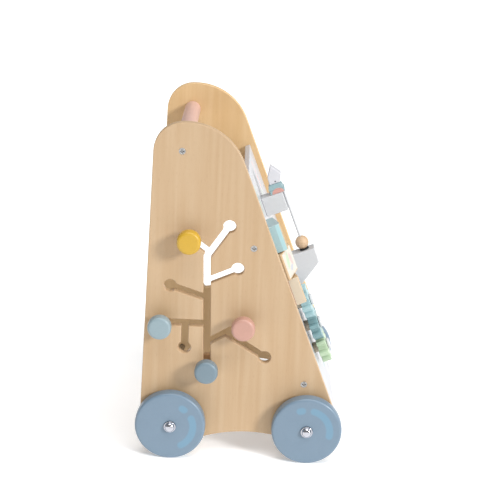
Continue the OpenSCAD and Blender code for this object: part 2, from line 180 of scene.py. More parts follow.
def placed(tree, group, feeds):
    """A node group put into a material."""
    made = tree.nodes.new("ShaderNodeGroup")
    made.node_tree = group
    for key, value in feeds.items():
        if isinstance(value, bpy.types.NodeSocket):
            tree.links.new(value, made.inputs[key])
        else:
            made.inputs[key].default_value = value
    return made.outputs


# Wood whose fibres run along the third coordinate: broad bands of early and late
# growth, fine lines, and short dark pores.
wood_figure, take, give = effect(
    "wood_figure",
    {"Place": ("Vector", None), "Pale": ("Color", (0.6, 0.4, 0.2, 1)), "Deep": ("Color", (0.4, 0.2, 0.1, 1)),
     "Pores": ("Float", 0.3)},
    {"Colour": "Color", "Height": "Float"},
)
bands = remap(wood_figure, grainy(wood_figure, take["Place"], (44.0, 44.0, 2.0), 2.0, 0.45, 1.3), 0.32, 0.68)
lines = remap(wood_figure, grainy(wood_figure, take["Place"], (170.0, 170.0, 6.0), 4.0, 0.6, 0.5), 0.30, 0.70)
pores = remap(wood_figure, grainy(wood_figure, take["Place"], (1500.0, 1500.0, 110.0), 1.0), 0.62, 0.72)
cloud = grainy(wood_figure, take["Place"], (7.0, 7.0, 3.0))
figure = maths(wood_figure, "MULTIPLY_ADD", bands, 0.5, maths(wood_figure, "MULTIPLY", lines, 0.32))
figure = maths(wood_figure, "MULTIPLY_ADD", cloud, 0.3, figure)
colour = mixed(wood_figure, remap(wood_figure, figure, 0.1, 1.0), take["Pale"], take["Deep"])
shade = mixed(wood_figure, 1.0, take["Deep"], (0.62, 0.52, 0.44, 1), "MULTIPLY")
dark = maths(wood_figure, "MULTIPLY", pores, take["Pores"])
wood_figure.links.new(mixed(wood_figure, dark, colour, shade), give["Colour"])
height = maths(wood_figure, "MULTIPLY_ADD", pores, -0.8, maths(wood_figure, "MULTIPLY", lines, 0.5))
wood_figure.links.new(height, give["Height"])

# Edges that hands and floors have rubbed: 1 on a rubbed edge, 0 elsewhere. The
# surface's normal is compared with the normal rounded over a small radius.
worn_edges, take, give = effect(
    "worn_edges", {"Place": ("Vector", None), "Amount": ("Float", 1.0)}, {"Mask": "Float"}
)
soft = add(worn_edges, "Bevel", {"Radius": 0.0014}, samples=4).outputs[0]
flat = add(worn_edges, "NewGeometry").outputs["Normal"]
match = add(worn_edges, "VectorMath", {0: soft, 1: flat}, operation="DOT_PRODUCT").outputs["Value"]
ragged = grainy(worn_edges, take["Place"], (130.0, 130.0, 130.0), 3.0, 0.6)
edge = maths(worn_edges, "MULTIPLY", remap(worn_edges, match, 0.99, 0.86), remap(worn_edges, ragged, 0.35, 0.62))
worn_edges.links.new(maths(worn_edges, "MULTIPLY", edge, take["Amount"]), give["Mask"])


def eased(name, node, width, segments=2, sharp=35):
    """A copy of a CAD node's surface: its loose triangles are joined, flat areas are made whole,
    and every edge sharper than the given angle is rounded over by the width."""
    shell = bmesh.new()
    shell.from_mesh(frame["nodes"][node].data)
    bmesh.ops.remove_doubles(shell, verts=shell.verts, dist=2e-5)
    bmesh.ops.dissolve_limit(shell, angle_limit=radians(0.6), verts=shell.verts, edges=shell.edges)
    mesh = bpy.data.meshes.new(name)
    shell.to_mesh(mesh)
    shell.free()
    mesh.shade_smooth()
    obj = bpy.data.objects.new(name, mesh)
    bpy.context.scene.collection.objects.link(obj)
    rounding = obj.modifiers.new("rounding", "BEVEL")
    rounding.width = width
    rounding.segments = segments
    rounding.limit_method = "ANGLE"
    rounding.angle_limit = radians(sharp)
    rounding.use_clamp_overlap = False
    rounding.miter_outer = "MITER_SHARP"
    shading = obj.modifiers.new("shading", "WEIGHTED_NORMAL")
    shading.weight = 60
    return obj


def settle(obj, body, slot, *nodes):
    """Puts a finished piece on its body, in place of the CAD nodes that it stands for."""
    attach(obj, body)
    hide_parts(*nodes)
    return obj


def plywood(name, pale, deep, core):
    """Varnished birch plywood: upright face grain, and plies that show on everything cut across."""
    made, tree, shader = finish_of(name, Coat_Weight=0.12, Coat_Roughness=0.35)
    place = add(tree, "TexCoord").outputs["Object"]
    face = placed(tree, wood_figure, {"Place": place, "Pale": pale, "Deep": deep, "Pores": 0.22})
    across = add(tree, "SeparateXYZ", {"Vector": add(tree, "NewGeometry").outputs["Normal"]}).outputs["Y"]
    cut = remap(tree, maths(tree, "ABSOLUTE", across), 0.75, 0.35)
    depth = add(tree, "SeparateXYZ", {"Vector": place}).outputs["Y"]
    ply = maths(tree, "SINE", maths(tree, "MULTIPLY", depth, 2 * pi / 0.0034))
    ply = remap(tree, ply, -0.35, 0.35)
    light = mixed(tree, 1.0, pale, (1.22, 1.22, 1.20, 1), "MULTIPLY")
    crumb = grainy(tree, place, (500.0, 40.0, 500.0), 2.0)
    edge = mixed(tree, maths(tree, "MULTIPLY", ply, remap(tree, crumb, 0.2, 0.8, 0.25, 0.8)), light, core)
    colour = mixed(tree, cut, face["Colour"], edge)
    rub = placed(tree, worn_edges, {"Place": place, "Amount": 0.35})["Mask"]
    tree.links.new(mixed(tree, rub, colour, light), shader.inputs["Base Color"])
    sheen = grainy(tree, place, (45.0, 45.0, 9.0), 3.0)
    tree.links.new(remap(tree, sheen, 0.3, 0.7, 0.42, 0.58), shader.inputs["Roughness"])
    bump = add(tree, "Bump", {"Height": face["Height"], "Strength": 0.35, "Distance": 0.0001}).outputs[0]
    tree.links.new(bump, shader.inputs["Normal"])
    return made


ply_shades = {"near": (tint(189, 163, 131), tint(178, 148, 112), tint(156, 123, 87)),
              "far": (tint(209, 178, 134), tint(198, 162, 114), tint(166, 128, 84))}
for side, (pale, deep, core) in ply_shades.items():
    panel = eased("plywood_panel_" + side, "side_panel_" + side, 0.0012, 3)
    made_of(panel, plywood("plywood_" + side, pale, deep, core))
    settle(panel, "frame", "plywood", "side_panel_" + side)


# --- Battens -----------------------------------------------------------------
# Two beech battens stand behind the board's edges and carry it between the panels.

def bare_wood(name, pale, deep, lie, pores=0.5):
    """Sanded solid wood; lie is the turn that carries the third coordinate onto the fibres."""
    made, tree, shader = finish_of(name, Coat_Weight=0.08, Coat_Roughness=0.4)
    place = add(tree, "TexCoord").outputs["Object"]
    along = add(tree, "Mapping", {"Vector": place, "Rotation": lie}).outputs[0]
    wood = placed(tree, wood_figure, {"Place": along, "Pale": pale, "Deep": deep, "Pores": pores})
    rub = placed(tree, worn_edges, {"Place": place, "Amount": 0.3})["Mask"]
    light = mixed(tree, 1.0, pale, (1.1, 1.1, 1.1, 1), "MULTIPLY")
    tree.links.new(mixed(tree, rub, wood["Colour"], light), shader.inputs["Base Color"])
    sheen = grainy(tree, place, (60.0, 60.0, 60.0))
    tree.links.new(remap(tree, sheen, 0.3, 0.7, 0.45, 0.62), shader.inputs["Roughness"])
    bump = add(tree, "Bump", {"Height": wood["Height"], "Strength": 0.4, "Distance": 0.00012}).outputs[0]
    tree.links.new(bump, shader.inputs["Normal"])
    return made


up = Vector(joint["top_block_turn"]["axis"])
out = Vector(joint["teal_gear_turn"]["axis"])
lean = up.angle(Vector((0, 0, 1)))
beech = bare_wood("beech", tint(222, 192, 152), tint(200, 160, 116), (0, lean, 0))
for side in ("near", "far"):
    batten = eased("beech_batten_" + side, side + "_batten", 0.001)
    made_of(batten, beech)
    settle(batten, "frame", "beech", side + "_batten")


# --- Handle bar and panel screws ---------------------------------------------
# A turned beech bar with eased ends, sprayed matt rose. Zinc-plated countersunk
# cross-head screws hold it and the battens from outside the panels.

def fillet(points, radius, steps=6):
    """A profile whose inner corners are rounded: within the radius of a corner p the line is the
    quadratic curve (1-s)^2 a + 2 s (1-s) p + s^2 b between the points a and b at that distance."""
    points = np.asarray(points, float)
    sizes = np.broadcast_to(radius, len(points) - 2)
    s = np.linspace(0, 1, steps)[:, None]
    rows = [points[:1]]
    for before, corner, after, size in zip(points, points[1:], points[2:], sizes):
        a = corner + (before - corner) * min(size / np.linalg.norm(before - corner), 0.5)
        b = corner + (after - corner) * min(size / np.linalg.norm(after - corner), 0.5)
        rows.append((1 - s) ** 2 * a + 2 * s * (1 - s) * corner + s ** 2 * b)
    return np.vstack(rows + [points[-1:]])


def turned(start, axis, profile, steps=96):
    """A turned surface. Profile rows are (distance along the axis a, radius r), carried round:
    start + a axis + r (cos t side + sin t top), for t from 0 to a full turn."""
    axis = np.array(axis, float) / np.linalg.norm(axis)
    side = np.cross(axis, (0.0, 0.0, 1.0) if abs(axis[2]) < 0.9 else (0.0, 1.0, 0.0))
    side /= np.linalg.norm(side)
    top = np.cross(side, axis)
    t = np.linspace(0, 2 * pi, steps, endpoint=False)
    ring = np.cos(t)[:, None] * side + np.sin(t)[:, None] * top
    a, r = np.asarray(profile, float).T
    places = np.array(start, float) + a[:, None, None] * axis + r[:, None, None] * ring
    row, column = np.meshgrid(np.arange(len(a) - 1), np.arange(steps), indexing="ij")
    beside = (column + 1) % steps
    quads = np.stack([row * steps + column, row * steps + beside, (row + 1) * steps + beside,
                      (row + 1) * steps + column], -1)
    return places.reshape(-1, 3), quads.reshape(-1, 4)


def corners(mesh):
    """The corner points of a mesh as rows of x, y and z."""
    places = np.empty(len(mesh.vertices) * 3)
    mesh.vertices.foreach_get("co", places)
    return places.reshape(-1, 3)


def shafts(places, axis, apart=0.010):
    """The start and length of each separate shaft among corner points, all along one axis."""
    axis = np.array(axis, float)
    along = places @ axis
    aside = places - along[:, None] * axis
    found = []
    while len(aside):
        one = np.linalg.norm(aside - aside[0], axis=1) < apart
        found.append(((aside[one].min(0) + aside[one].max(0)) / 2 + along[one].min() * axis, np.ptp(along[one])))
        aside, along = aside[~one], along[~one]
    return found


def cross_head(start, axis, length, head_r, shank_r, arm=0.58, half=0.16):
    """A countersunk screw. The head's top is a disc over polar steps, low by a smooth step of the
    distance to the nearer arm of a cross; a cone and the shank follow. Lengths are parts of head_r."""
    reach = np.concatenate([np.linspace(0, 0.6, 16), [0.75, 0.9, 0.97, 1.0]])
    under = head_r - shank_r
    flank = [(0.03 * head_r, head_r), (under, shank_r), (length - shank_r, shank_r), (length, 0.0)]
    profile = np.vstack([np.stack([0 * reach, reach * head_r], 1), flank])
    places, quads = turned(start, axis, profile, 64)
    axis = np.array(axis, float)
    side = np.cross(axis, (0.0, 0.0, 1.0))
    side /= np.linalg.norm(side)
    rest = (places - start)[:len(reach) * 64]
    x, y = np.abs(rest @ side) / head_r, np.abs(rest @ np.cross(side, axis)) / head_r
    out_of_arm = np.maximum(np.minimum(x, y) - half, np.maximum(x, y) - arm)
    low = np.clip(0.5 - out_of_arm / 0.12, 0, 1)
    places[:len(reach) * 64] += (low * low * (3 - 2 * low) * 0.45 * head_r)[:, None] * axis
    return places, quads


def piece(name, *surfaces):
    """One object from several surfaces, with poles and seams closed and faces pointing outwards."""
    places = np.vstack([s[0] for s in surfaces])
    starts = np.cumsum([0] + [len(s[0]) for s in surfaces[:-1]])
    faces = np.vstack([s[1] + n for s, n in zip(surfaces, starts)])
    mesh = bpy.data.meshes.new(name)
    mesh.from_pydata(places.tolist(), [], faces.tolist())
    shell = bmesh.new()
    shell.from_mesh(mesh)
    bmesh.ops.remove_doubles(shell, verts=shell.verts, dist=1e-6)
    bmesh.ops.recalc_face_normals(shell, faces=shell.faces)
    shell.to_mesh(mesh)
    shell.free()
    mesh.shade_smooth()
    obj = bpy.data.objects.new(name, mesh)
    bpy.context.scene.collection.objects.link(obj)
    return obj


def spine(node, axis):
    """The start, the end and the radius of a round CAD node that lies along an axis."""
    places = corners(frame["nodes"][node].data)
    axis = np.array(axis, float)
    along = places @ axis
    aside = places - along[:, None] * axis
    middle = (aside.min(0) + aside.max(0)) / 2
    return middle + along.min() * axis, middle + along.max() * axis, np.linalg.norm(aside - middle, axis=1).max()


# Sprayed paint over sanded wood: a fine orange-peel skin, the wood's lines showing
# faintly through, and slow changes of thickness.
paint_skin, take, give = effect(
    "paint_skin",
    {"Place": ("Vector", None), "Colour": ("Color", (0.5, 0.5, 0.5, 1)), "Show": ("Float", 0.5)},
    {"Colour": "Color", "Height": "Float", "Sheen": "Float"},
)
lines = remap(paint_skin, grainy(paint_skin, take["Place"], (300.0, 300.0, 14.0), 3.0, 0.6, 0.3), 0.3, 0.7)
cloud = remap(paint_skin, grainy(paint_skin, take["Place"], (38.0, 38.0, 38.0), 2.0), 0.3, 0.7)
peel = grainy(paint_skin, take["Place"], (900.0, 900.0, 900.0), 1.0)
depth = maths(paint_skin, "MULTIPLY_ADD", lines, 0.6, maths(paint_skin, "MULTIPLY", cloud, 0.4))
depth = maths(paint_skin, "MULTIPLY", depth, take["Show"])
thin = mixed(paint_skin, 1.0, take["Colour"], (0.86, 0.87, 0.88, 1), "MULTIPLY")
paint_skin.links.new(mixed(paint_skin, depth, take["Colour"], thin), give["Colour"])
paint_skin.links.new(maths(paint_skin, "MULTIPLY_ADD", lines, 0.35, peel), give["Height"])
paint_skin.links.new(cloud, give["Sheen"])


def paint(name, colour, rubbed, lie=(0, 0, 0), show=0.6, gloss=(0.36, 0.5), wear=0.5, printed=None):
    """Painted wood: the paint skin, with the rubbed shade where edges have worn. printed, if given,
    lays a print over the paint: it takes the tree and the paint's colour and returns the new colour."""
    made, tree, shader = finish_of(name, Coat_Weight=0.35, Coat_Roughness=0.34)
    place = add(tree, "TexCoord").outputs["Object"]
    along = add(tree, "Mapping", {"Vector": place, "Rotation": lie}).outputs[0]
    skin = placed(tree, paint_skin, {"Place": along, "Colour": colour, "Show": show})
    coloured = printed(tree, skin["Colour"]) if printed else skin["Colour"]
    rub = placed(tree, worn_edges, {"Place": place, "Amount": wear})["Mask"]
    tree.links.new(mixed(tree, rub, coloured, rubbed), shader.inputs["Base Color"])
    tree.links.new(remap(tree, skin["Sheen"], 0.0, 1.0, *gloss), shader.inputs["Roughness"])
    bump = add(tree, "Bump", {"Height": skin["Height"], "Strength": 0.22, "Distance": 0.00008}).outputs[0]
    tree.links.new(bump, shader.inputs["Normal"])
    return made


zinc, tree, shader = finish_of("zinc_plate", Metallic=1.0)
place = add(tree, "TexCoord").outputs["Object"]
bloom = grainy(tree, place, (380.0, 380.0, 380.0), 3.0, 0.6)
tree.links.new(mixed(tree, bloom, tint(150, 150, 152), tint(196, 194, 190)), shader.inputs["Base Color"])
tree.links.new(remap(tree, bloom, 0.3, 0.7, 0.24, 0.42), shader.inputs["Roughness"])
bump = add(tree, "Bump", {"Height": bloom, "Strength": 0.25, "Distance": 0.00005}).outputs[0]
tree.links.new(bump, shader.inputs["Normal"])

across = (0.0, 1.0, 0.0)
start, end, radius = spine("handle_bar", across)
length = end[1] - start[1]
ease = 0.0015
handle = piece("handle_rail", turned(start, across, fillet(
    [(0, 0), (0, radius), (length, radius), (length, 0)], ease)))
screw_head_r, screw_shank_r = 0.0045, 0.0025
screws = corners(frame["nodes"]["panel_screws"].data)
heads = []
for side in (-1.0, 1.0):
    for start, length in shafts(screws[screws[:, 1] * side > 0], (0, -side, 0)):
        heads.append(cross_head(start, (0, -side, 0), length, screw_head_r, screw_shank_r))
panel_screws = piece("cross_head_screws", *heads)
made_of(panel_screws, zinc)
settle(panel_screws, "frame", "zinc_steel", "panel_screws")
made_of(handle, paint("rose_paint", tint(211, 173, 161), tint(229, 199, 190), (pi / 2, 0, 0), gloss=(0.42, 0.56)))
settle(handle, "frame", "rose_paint", "handle_bar")


# --- Front board -------------------------------------------------------------
# An 8 mm board painted white, with small sprays of leaves printed in grey, rose, teal
# and sage. It leans back with the panels' front edges; screws hold it from behind.

# One pointed leaf: half as wide as Width at its middle and closed by a parabola at
# both ends, so it is inside where |y| < Width/2 (1 - (x / half Length)^2).
leaf_print, take, give = effect(
    "leaf_print",
    {"Place": ("Vector", None), "At": ("Vector", None), "Turn": ("Vector", None),
     "Length": ("Float", 0.02), "Width": ("Float", 0.008)},
    {"Mask": "Float"},
)
local = add(leaf_print, "Mapping", {"Vector": take["Place"], "Location": take["At"], "Rotation": take["Turn"]},
            vector_type="TEXTURE").outputs[0]
part = add(leaf_print, "SeparateXYZ", {"Vector": local}).outputs
reach = maths(leaf_print, "DIVIDE", part["X"], maths(leaf_print, "MULTIPLY", take["Length"], 0.5))
bow = maths(leaf_print, "SUBTRACT", 1.0, maths(leaf_print, "MULTIPLY", reach, reach))
edge = maths(leaf_print, "MULTIPLY", bow, maths(leaf_print, "MULTIPLY", take["Width"], 0.5))
inside = maths(leaf_print, "SUBTRACT", edge, maths(leaf_print, "ABSOLUTE", part["Y"]))
vein = maths(leaf_print, "ABSOLUTE", part["Y"])
vein = remap(leaf_print, vein, 0.0001, 0.0004, 0.45, 1.0)
leaf = maths(leaf_print, "MULTIPLY", remap(leaf_print, inside, 0.0, 0.0003), vein)
leaf_print.links.new(leaf, give["Mask"])


def leaves(tree, place, colour, rows):
    """Printed leaves over a colour. A row is (across, along, turn in degrees, length, width, ink),
    in metres on the plane whose coordinates place gives."""
    for y, v, turn, length, width, ink in rows:
        mask = placed(tree, leaf_print, {"Place": place, "At": (y, v, 0), "Turn": (0, 0, radians(turn)),
                                         "Length": length, "Width": width})["Mask"]
        colour = mixed(tree, maths(tree, "MULTIPLY", mask, 0.9), colour, ink)
    return colour


def facing(tree, at, turn):
    """Coordinates on a tilted piece: x across, y up along it, z out of it."""
    place = add(tree, "TexCoord").outputs["Object"]
    return add(tree, "Mapping", {"Vector": place, "Location": at, "Rotation": turn}, vector_type="TEXTURE").outputs[0]


grey_ink, rose_ink, cream_ink = tint(176, 178, 190), tint(226, 176, 172), tint(226, 216, 192)
teal_ink, sage_ink = tint(140, 184, 188), tint(178, 200, 168)
board_up = np.array(up)
board_across = np.array(across)
board_out = np.array(out)
board_turn = Matrix((board_across, board_up, np.cross(board_across, board_up))).transposed().to_euler()
board_low = spine("front_board", up)[0]
spray = []
for y, v, grow, ink in ((-0.108, 0.345, 62, grey_ink), (-0.088, 0.352, 80, rose_ink), (-0.115, 0.045, 40, teal_ink),
                        (-0.075, 0.075, 100, rose_ink), (-0.055, 0.108, 60, grey_ink), (0.067, 0.344, 100, rose_ink),
                        (0.038, 0.334, 60, grey_ink), (0.022, 0.318, 30, sage_ink), (0.086, 0.150, 70, grey_ink),
                        (0.105, 0.060, 110, rose_ink), (-0.030, 0.330, 95, sage_ink), (0.055, 0.040, 60, teal_ink)):
    turn = radians(grow)
    for k in range(4):
        stem = 0.012 * k
        bend = 38 if k % 2 else -38
        spray.append((y + stem * cos(turn), v + stem * sin(turn), grow + bend, 0.020 - 0.002 * k, 0.0085, ink))


def board_print(tree, colour):
    """The sprays, on the board's front face only."""
    place = facing(tree, board_low, board_turn)
    front = add(tree, "SeparateXYZ", {"Vector": place}).outputs["Z"]
    return mixed(tree, remap(tree, front, 0.0030, 0.0036), colour, leaves(tree, place, colour, spray))


white_board = paint("white_board", tint(192, 193, 197), tint(216, 216, 218), (0, lean, 0), show=0.25,
                    printed=board_print)
board = eased("printed_board", "front_board", 0.001)
made_of(board, white_board)
settle(board, "frame", "white_board", "front_board")
board_screw_head_r = 0.0035
board_screws = piece("board_screw_set", *[
    cross_head(start, out, length, board_screw_head_r, board_screw_head_r / 2)
    for start, length in shafts(corners(frame["nodes"]["board_screws"].data), out)])
made_of(board_screws, zinc)
settle(board_screws, "frame", "zinc_steel", "board_screws")


# --- Axles, washers and caps -------------------------------------------------
# Steel axles run through both panels' feet. Each end takes a flat washer, a wheel and
# a pressed chrome cap with a domed top.

for end_of in ("front", "rear"):
    start, end, radius = spine(end_of + "_axle", across)
    length = end[1] - start[1]
    rod = piece(end_of + "_axle_rod", turned(start, across, fillet(
        [(0, 0), (0, radius), (length, radius), (length, 0)], 0.0006, 4), 48))
    made_of(rod, zinc)
    settle(rod, "frame", "zinc_steel", end_of + "_axle")

wheels = [(end_of, side, "%s_wheel_%s" % (end_of, side)) for end_of in ("front", "rear") for side in ("near", "far")]
away = {"near": -1.0, "far": 1.0}
low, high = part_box("axle_washers")
panel_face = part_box("side_panel_far")[1].y
washer_t = high.y - panel_face
shaft_r = spine("front_axle", across)[2]
washer_r = 2.2 * shaft_r
rings = []
for end_of, side, wheel in wheels:
    middle = (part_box(wheel)[0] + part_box(wheel)[1]) / 2
    start = (middle.x, away[side] * panel_face, middle.z)
    rings.append(turned(start, (0, away[side], 0), fillet(
        [(0.0, shaft_r), (0, washer_r), (washer_t, washer_r), (washer_t, shaft_r), (0, shaft_r)], 0.0004, 4), 64))
washers = piece("washer_rings", *rings)
made_of(washers, zinc)
settle(washers, "frame", "zinc_steel", "axle_washers")

chrome, tree, shader = finish_of("chrome", Metallic=1.0)
place = add(tree, "TexCoord").outputs["Object"]
smear = grainy(tree, place, (220.0, 220.0, 220.0), 3.0, 0.65)
tree.links.new(mixed(tree, smear, tint(168, 170, 178), tint(206, 207, 214)), shader.inputs["Base Color"])
tree.links.new(remap(tree, smear, 0.35, 0.7, 0.06, 0.16), shader.inputs["Roughness"])
bump = add(tree, "Bump", {"Height": smear, "Strength": 0.1, "Distance": 0.00004}).outputs[0]
tree.links.new(bump, shader.inputs["Normal"])

cap_low, cap_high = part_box("axle_caps")
wheel_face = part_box("front_wheel_far")[1].y
cap_r = (cap_high.z - cap_low.z) / 2
cap_h = cap_high.y - wheel_face
domes = []
for end_of, side, wheel in wheels:
    middle = (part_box(wheel)[0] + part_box(wheel)[1]) / 2
    start = (middle.x, away[side] * (wheel_face + 0.0005), middle.z)
    t = np.linspace(0, pi / 2, 14)
    dome = np.stack([0.0022 + (cap_h - 0.0029) * np.sin(t), (cap_r - 0.0016) * np.cos(t) ** 0.8], 1)
    flange = fillet([(0, 0), (0, cap_r), (0.0014, cap_r), (0.0017, cap_r - 0.0015),
                     (0.0022, cap_r - 0.0016)], 0.0005, 5)
    domes.append(turned(start, (0, away[side], 0), np.vstack([flange, dome[1:]]), 64))
caps = piece("axle_domes", *domes)
made_of(caps, chrome)
settle(caps, "frame", "chrome_cap", "axle_caps")


# --- Wheels ------------------------------------------------------------------
# Turned discs with softly rounded rims, sprayed grey-blue. A paler glint, one short
# dash and one long arc, is printed on each outer face.

def length_of(tree, x, y):
    """The distance sqrt(x x + y y)."""
    return maths(tree, "SQRT", maths(tree, "ADD", maths(tree, "MULTIPLY", x, x), maths(tree, "MULTIPLY", y, y)))


glint_ring = 0.655


def glint(tree, colour):
    """The printed dash and arc. The piece's own map gives x and y from the wheel's centre, as
    parts of its radius: a mark covers radii 0.56 to 0.76 and a stretch of angle, with round ends."""
    part = add(tree, "SeparateXYZ", {"Vector": add(tree, "UVMap", uv_map="face").outputs[0]}).outputs
    reach = length_of(tree, part["X"], part["Y"])
    angle = maths(tree, "ARCTAN2", part["Y"], part["X"])
    ring = maths(tree, "ABSOLUTE", maths(tree, "SUBTRACT", reach, glint_ring))
    mask = None
    for middle, half in ((106.0, 3.0), (32.0, 42.0)):
        past = maths(tree, "ABSOLUTE", maths(tree, "SUBTRACT", angle, radians(middle)))
        past = maths(tree, "MAXIMUM", maths(tree, "SUBTRACT", past, radians(half)), 0.0)
        gap = length_of(tree, ring, maths(tree, "MULTIPLY", past, glint_ring))
        mark = remap(tree, gap, 0.120, 0.078)
        mask = mark if mask is None else maths(tree, "MAXIMUM", mask, mark)
    return mixed(tree, maths(tree, "MULTIPLY", mask, 0.6), colour, tint(100, 146, 172))


wheel_paint = paint("wheel_paint", tint(110, 131, 149), tint(164, 180, 193), (pi / 2, 0, 0), show=0.5,
                    gloss=(0.34, 0.46), wear=0.35, printed=glint)


def mapped(obj, centre, away, scale, turn):
    """Writes the piece's own map: x and y of each corner from the centre, seen from outside and
    turned; what faces inwards is moved off the print."""
    mesh = obj.data
    at_corner = np.empty(len(mesh.loops), int)
    mesh.loops.foreach_get("vertex_index", at_corner)
    rest = (corners(mesh) - np.array(centre))[at_corner]
    x, y = -away * rest[:, 0] / scale, rest[:, 2] / scale
    hidden = np.where(rest[:, 1] * away > 0, 0.0, 5.0)
    uv = np.stack([x * cos(turn) + y * sin(turn) + hidden, y * cos(turn) - x * sin(turn)], 1)
    mesh.uv_layers.new(name="face").data.foreach_set("uv", uv.ravel().astype(np.float32))


glint_turn = {"front_wheel_near": 0.0, "rear_wheel_near": -radians(50), "front_wheel_far": radians(100),
              "rear_wheel_far": -radians(140)}
for end_of, side, wheel in wheels:
    low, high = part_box(wheel)
    middle = (low + high) / 2
    radius, width = (high.z - low.z) / 2, high.y - low.y
    bore = shaft_r + 0.00008
    start = (middle.x, middle.y - width / 2, middle.z)
    profile = fillet([(0.0005, bore), (0.0005, bore + 0.0035), (0, bore + 0.005), (0, radius), (width, radius),
                      (width, bore + 0.005), (width - 0.0005, bore + 0.0035), (width - 0.0005, bore),
                      (0.0005, bore)],
                     [0.0004, 0.0006, 0.0046, 0.0046, 0.0006, 0.0004, 0.0003], 8)
    disc = piece(wheel + "_disc", turned(start, across, profile, 160))
    mapped(disc, middle, away[side], radius, glint_turn[wheel])
    made_of(disc, wheel_paint)
    settle(disc, wheel + "_body", "wheel_paint", wheel)


# --- Knobs, pegs and keepers -------------------------------------------------
# Four thick turned knobs, each a different matt colour. A lilac peg carries each one
# through its slot to a bare beech keeper disc on the inside.

towards_near = (0.0, -1.0, 0.0)
keeper_wood = bare_wood("keeper_beech", tint(216, 184, 142), tint(192, 150, 104), (pi / 2, 0, 0), 0.6)
peg_paint = paint("peg_paint", tint(206, 180, 180), tint(216, 196, 194), (pi / 2, 0, 0), wear=0.2)
knob_shades = {
    "yellow": (tint(194, 154, 35), tint(240, 209, 127)),
    "sky": (tint(135, 154, 161), tint(196, 212, 218)),
    "pink": (tint(185, 141, 126), tint(235, 199, 188)),
    "blue": (tint(109, 128, 139), tint(170, 185, 197)),
}
for shade_name, (colour, rubbed) in knob_shades.items():
    body = shade_name + "_slider"
    start, end, radius = spine(shade_name + "_knob", towards_near)
    thick = start[1] - end[1]
    profile = fillet([(0, 0), (0, radius), (thick, radius), (thick, 0)], [0.0042, 0.0052], 12)
    knob = piece(shade_name + "_disc", turned(start, towards_near, profile))
    made_of(knob, paint(shade_name + "_paint", colour, rubbed, (pi / 2, 0, 0), gloss=(0.38, 0.5), wear=0.3))
    settle(knob, body, shade_name + "_paint", shade_name + "_knob")

    start, end, radius = spine(shade_name + "_peg", towards_near)
    length = start[1] - end[1]
    peg = piece(shade_name + "_dowel", turned(start, towards_near, fillet(
        [(0, 0), (0, radius), (length, radius), (length, 0)], 0.0008, 4), 48))
    made_of(peg, peg_paint)
    settle(peg, body, "peg_paint", shade_name + "_peg")
    peg_r = radius

    start, end, radius = spine(shade_name + "_keeper", towards_near)
    thick = start[1] - end[1]
    keeper = piece(shade_name + "_keeper_disc", turned(start, towards_near, fillet(
        [(0, peg_r), (0, radius), (thick, radius), (thick, peg_r), (0, peg_r)], [0.0018, 0.0018, 0.0003], 6)))
    made_of(keeper, keeper_wood)
    settle(keeper, body, "beech", shade_name + "_keeper")


# --- Picture blocks ----------------------------------------------------------
# Three beech blocks turn on one steel rod in the board's opening. Each has a printed
# front face. The top one's side and upper end are painted teal, greyer and darker than
# its front as painted shade, with a paler band left along the side's front edge; the
# lower one's side has a red-brown stripe. The rest is left bare under clear varnish.

start, end, radius = spine("block_rod", up)
length = np.linalg.norm(end - start)
rod = piece("block_spindle", turned(start, up, fillet(
    [(0, 0), (0, radius), (length, radius), (length, 0)], 0.0006, 4), 48))
made_of(rod, zinc)
settle(rod, "frame", "zinc_steel", "block_rod")


block_half, print_end, print_inset, print_edge = 0.022, 0.0186, 0.0016, 0.0004


